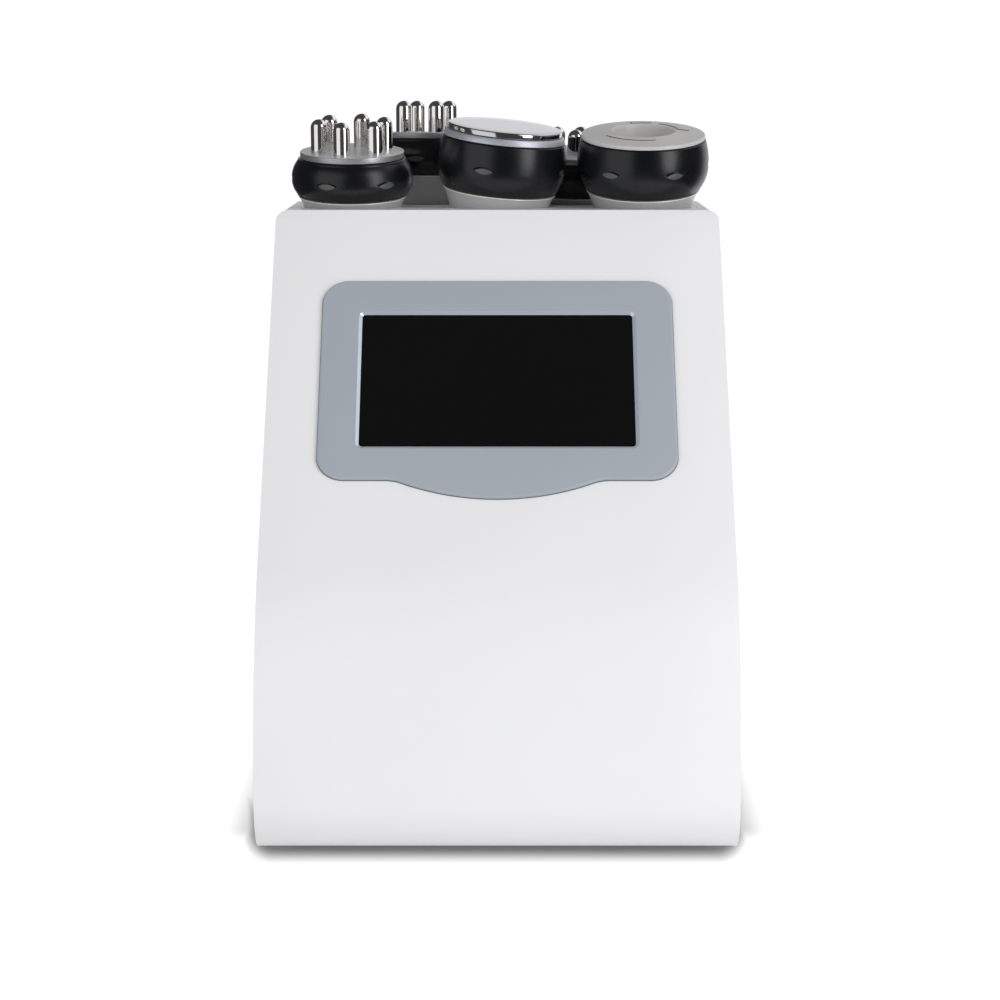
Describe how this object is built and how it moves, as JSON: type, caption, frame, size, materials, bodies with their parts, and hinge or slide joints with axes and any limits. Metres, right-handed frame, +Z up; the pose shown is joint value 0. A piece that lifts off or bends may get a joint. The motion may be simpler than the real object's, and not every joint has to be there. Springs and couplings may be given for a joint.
{
  "type": "cavitation slimming machine",
  "caption": "Tabletop body-care machine with a sloping touch-screen front, a bay behind it, and leaning hand pieces that lift out of cups in its top deck.",
  "frame": {"origin": "on the floor, under the middle of the whole machine", "axes": "+Z up, -Y towards the user in front of the screen, +X to the right as seen from there"},
  "size_m": [0.26, 0.355, 0.4074],
  "materials": {
    "case_white": "smooth satin white powder coat",
    "deck_white": "satin white moulding",
    "bezel_grey": "smooth blue-grey moulding with a soft edge",
    "screen_glass": "black touch glass, dark when off",
    "collar_black": "satin soft-touch black",
    "grip_grey": "silver-grey painted moulding",
    "crown_grey": "warm light grey, satin",
    "rim_silver": "fine silver-grey, slightly grained",
    "electrode_chrome": "polished electrodes on a satin grey metal plate",
    "nickel": "nickel plate",
    "supply_metal": "plain sheet",
    "board_green": "circuit board with solder mask",
    "plastic_black": "black moulding",
    "rubber_black": "matt"
  },
  "bodies": {
    "case": {"front_panel": "case_white", "left_side_panel": "case_white", "right_side_panel": "case_white", "base_plate": "case_white", "rear_panel": "case_white", "bay_tray": "case_white", "top_deck": "deck_white", "screen_bezel": "bezel_grey", "touch_glass": "screen_glass", "display_module": "supply_metal", "control_board": "board_green", "power_supply": "supply_metal", "generator_board": "board_green", "vacuum_pump": "plastic_black", "front_left_foot": "rubber_black", "front_right_foot": "rubber_black", "rear_left_foot": "rubber_black", "rear_right_foot": "rubber_black", "fan_frame": "plastic_black", "fan_guard": "nickel", "mains_inlet": "plastic_black", "switch_body": "plastic_black", "fuse_holder": "plastic_black", "vacuum_port": "nickel", "sextupolar_socket": "nickel", "quadrupolar_socket": "nickel", "cavitation_socket": "nickel", "tripolar_socket": "nickel", "vacuum_socket": "nickel", "sextupolar_cup": "deck_white", "quadrupolar_cup": "deck_white", "cavitation_cup": "deck_white", "tripolar_cup": "deck_white", "vacuum_cup": "deck_white"},
    "sextupolar_hand_piece": {"sextupolar_grip": "grip_grey", "sextupolar_collar": "collar_black", "sextupolar_cord_gland": "rubber_black", "sextupolar_head": "electrode_chrome"},
    "quadrupolar_hand_piece": {"quadrupolar_grip": "grip_grey", "quadrupolar_collar": "collar_black", "quadrupolar_cord_gland": "rubber_black", "quadrupolar_head": "electrode_chrome"},
    "tripolar_hand_piece": {"tripolar_grip": "grip_grey", "tripolar_collar": "collar_black", "tripolar_cord_gland": "rubber_black", "tripolar_head": "electrode_chrome"},
    "cavitation_hand_piece": {"cavitation_grip": "grip_grey", "cavitation_collar": "collar_black", "cavitation_cord_gland": "rubber_black", "cavitation_rim": "rim_silver", "cavitation_transducer": "electrode_chrome"},
    "vacuum_hand_piece": {"vacuum_grip": "grip_grey", "vacuum_collar": "collar_black", "vacuum_cord_gland": "rubber_black", "vacuum_crown": "crown_grey", "vacuum_contact_ring": "crown_grey"},
    "fan_rotor": {"fan_rotor": "plastic_black"},
    "switch_rocker": {"switch_rocker": "plastic_black"},
    "fuse_cap": {"fuse_cap": "plastic_black"}
  },
  "joints": [
    {"name": "sextupolar_lift", "type": "slide", "parent": "case", "child": "sextupolar_hand_piece", "axis": [0, -0.1323, 0.9912], "range_m": [0, 0.16]},
    {"name": "cavitation_lift", "type": "slide", "parent": "case", "child": "cavitation_hand_piece", "axis": [0.0952, -0.1184, 0.9884], "range_m": [0, 0.17]},
    {"name": "vacuum_lift", "type": "slide", "parent": "case", "child": "vacuum_hand_piece", "axis": [0, -0.1994, 0.9799], "range_m": [0, 0.125]},
    {"name": "quadrupolar_lift", "type": "slide", "parent": "case", "child": "quadrupolar_hand_piece", "axis": [0, 0, 1], "range_m": [0, 0.16]},
    {"name": "tripolar_lift", "type": "slide", "parent": "case", "child": "tripolar_hand_piece", "axis": [0.0433, -0.1288, 0.9907], "range_m": [0, 0.16]},
    {"name": "fan_spin", "type": "hinge", "parent": "case", "child": "fan_rotor", "pos_m": [-0.062, 0.16653, 0.0553], "axis": [0, 1, 0], "continuous": true},
    {"name": "switch_rock", "type": "hinge", "parent": "case", "child": "switch_rocker", "pos_m": [0.048, 0.16653, 0.0473], "axis": [-1, 0, 0], "range_deg": [0, 18]},
    {"name": "fuse_cap_turn", "type": "hinge", "parent": "case", "child": "fuse_cap", "pos_m": [0.018, 0.16653, 0.0473], "axis": [0, 1, 0], "range_deg": [0, 90]}
  ]
}
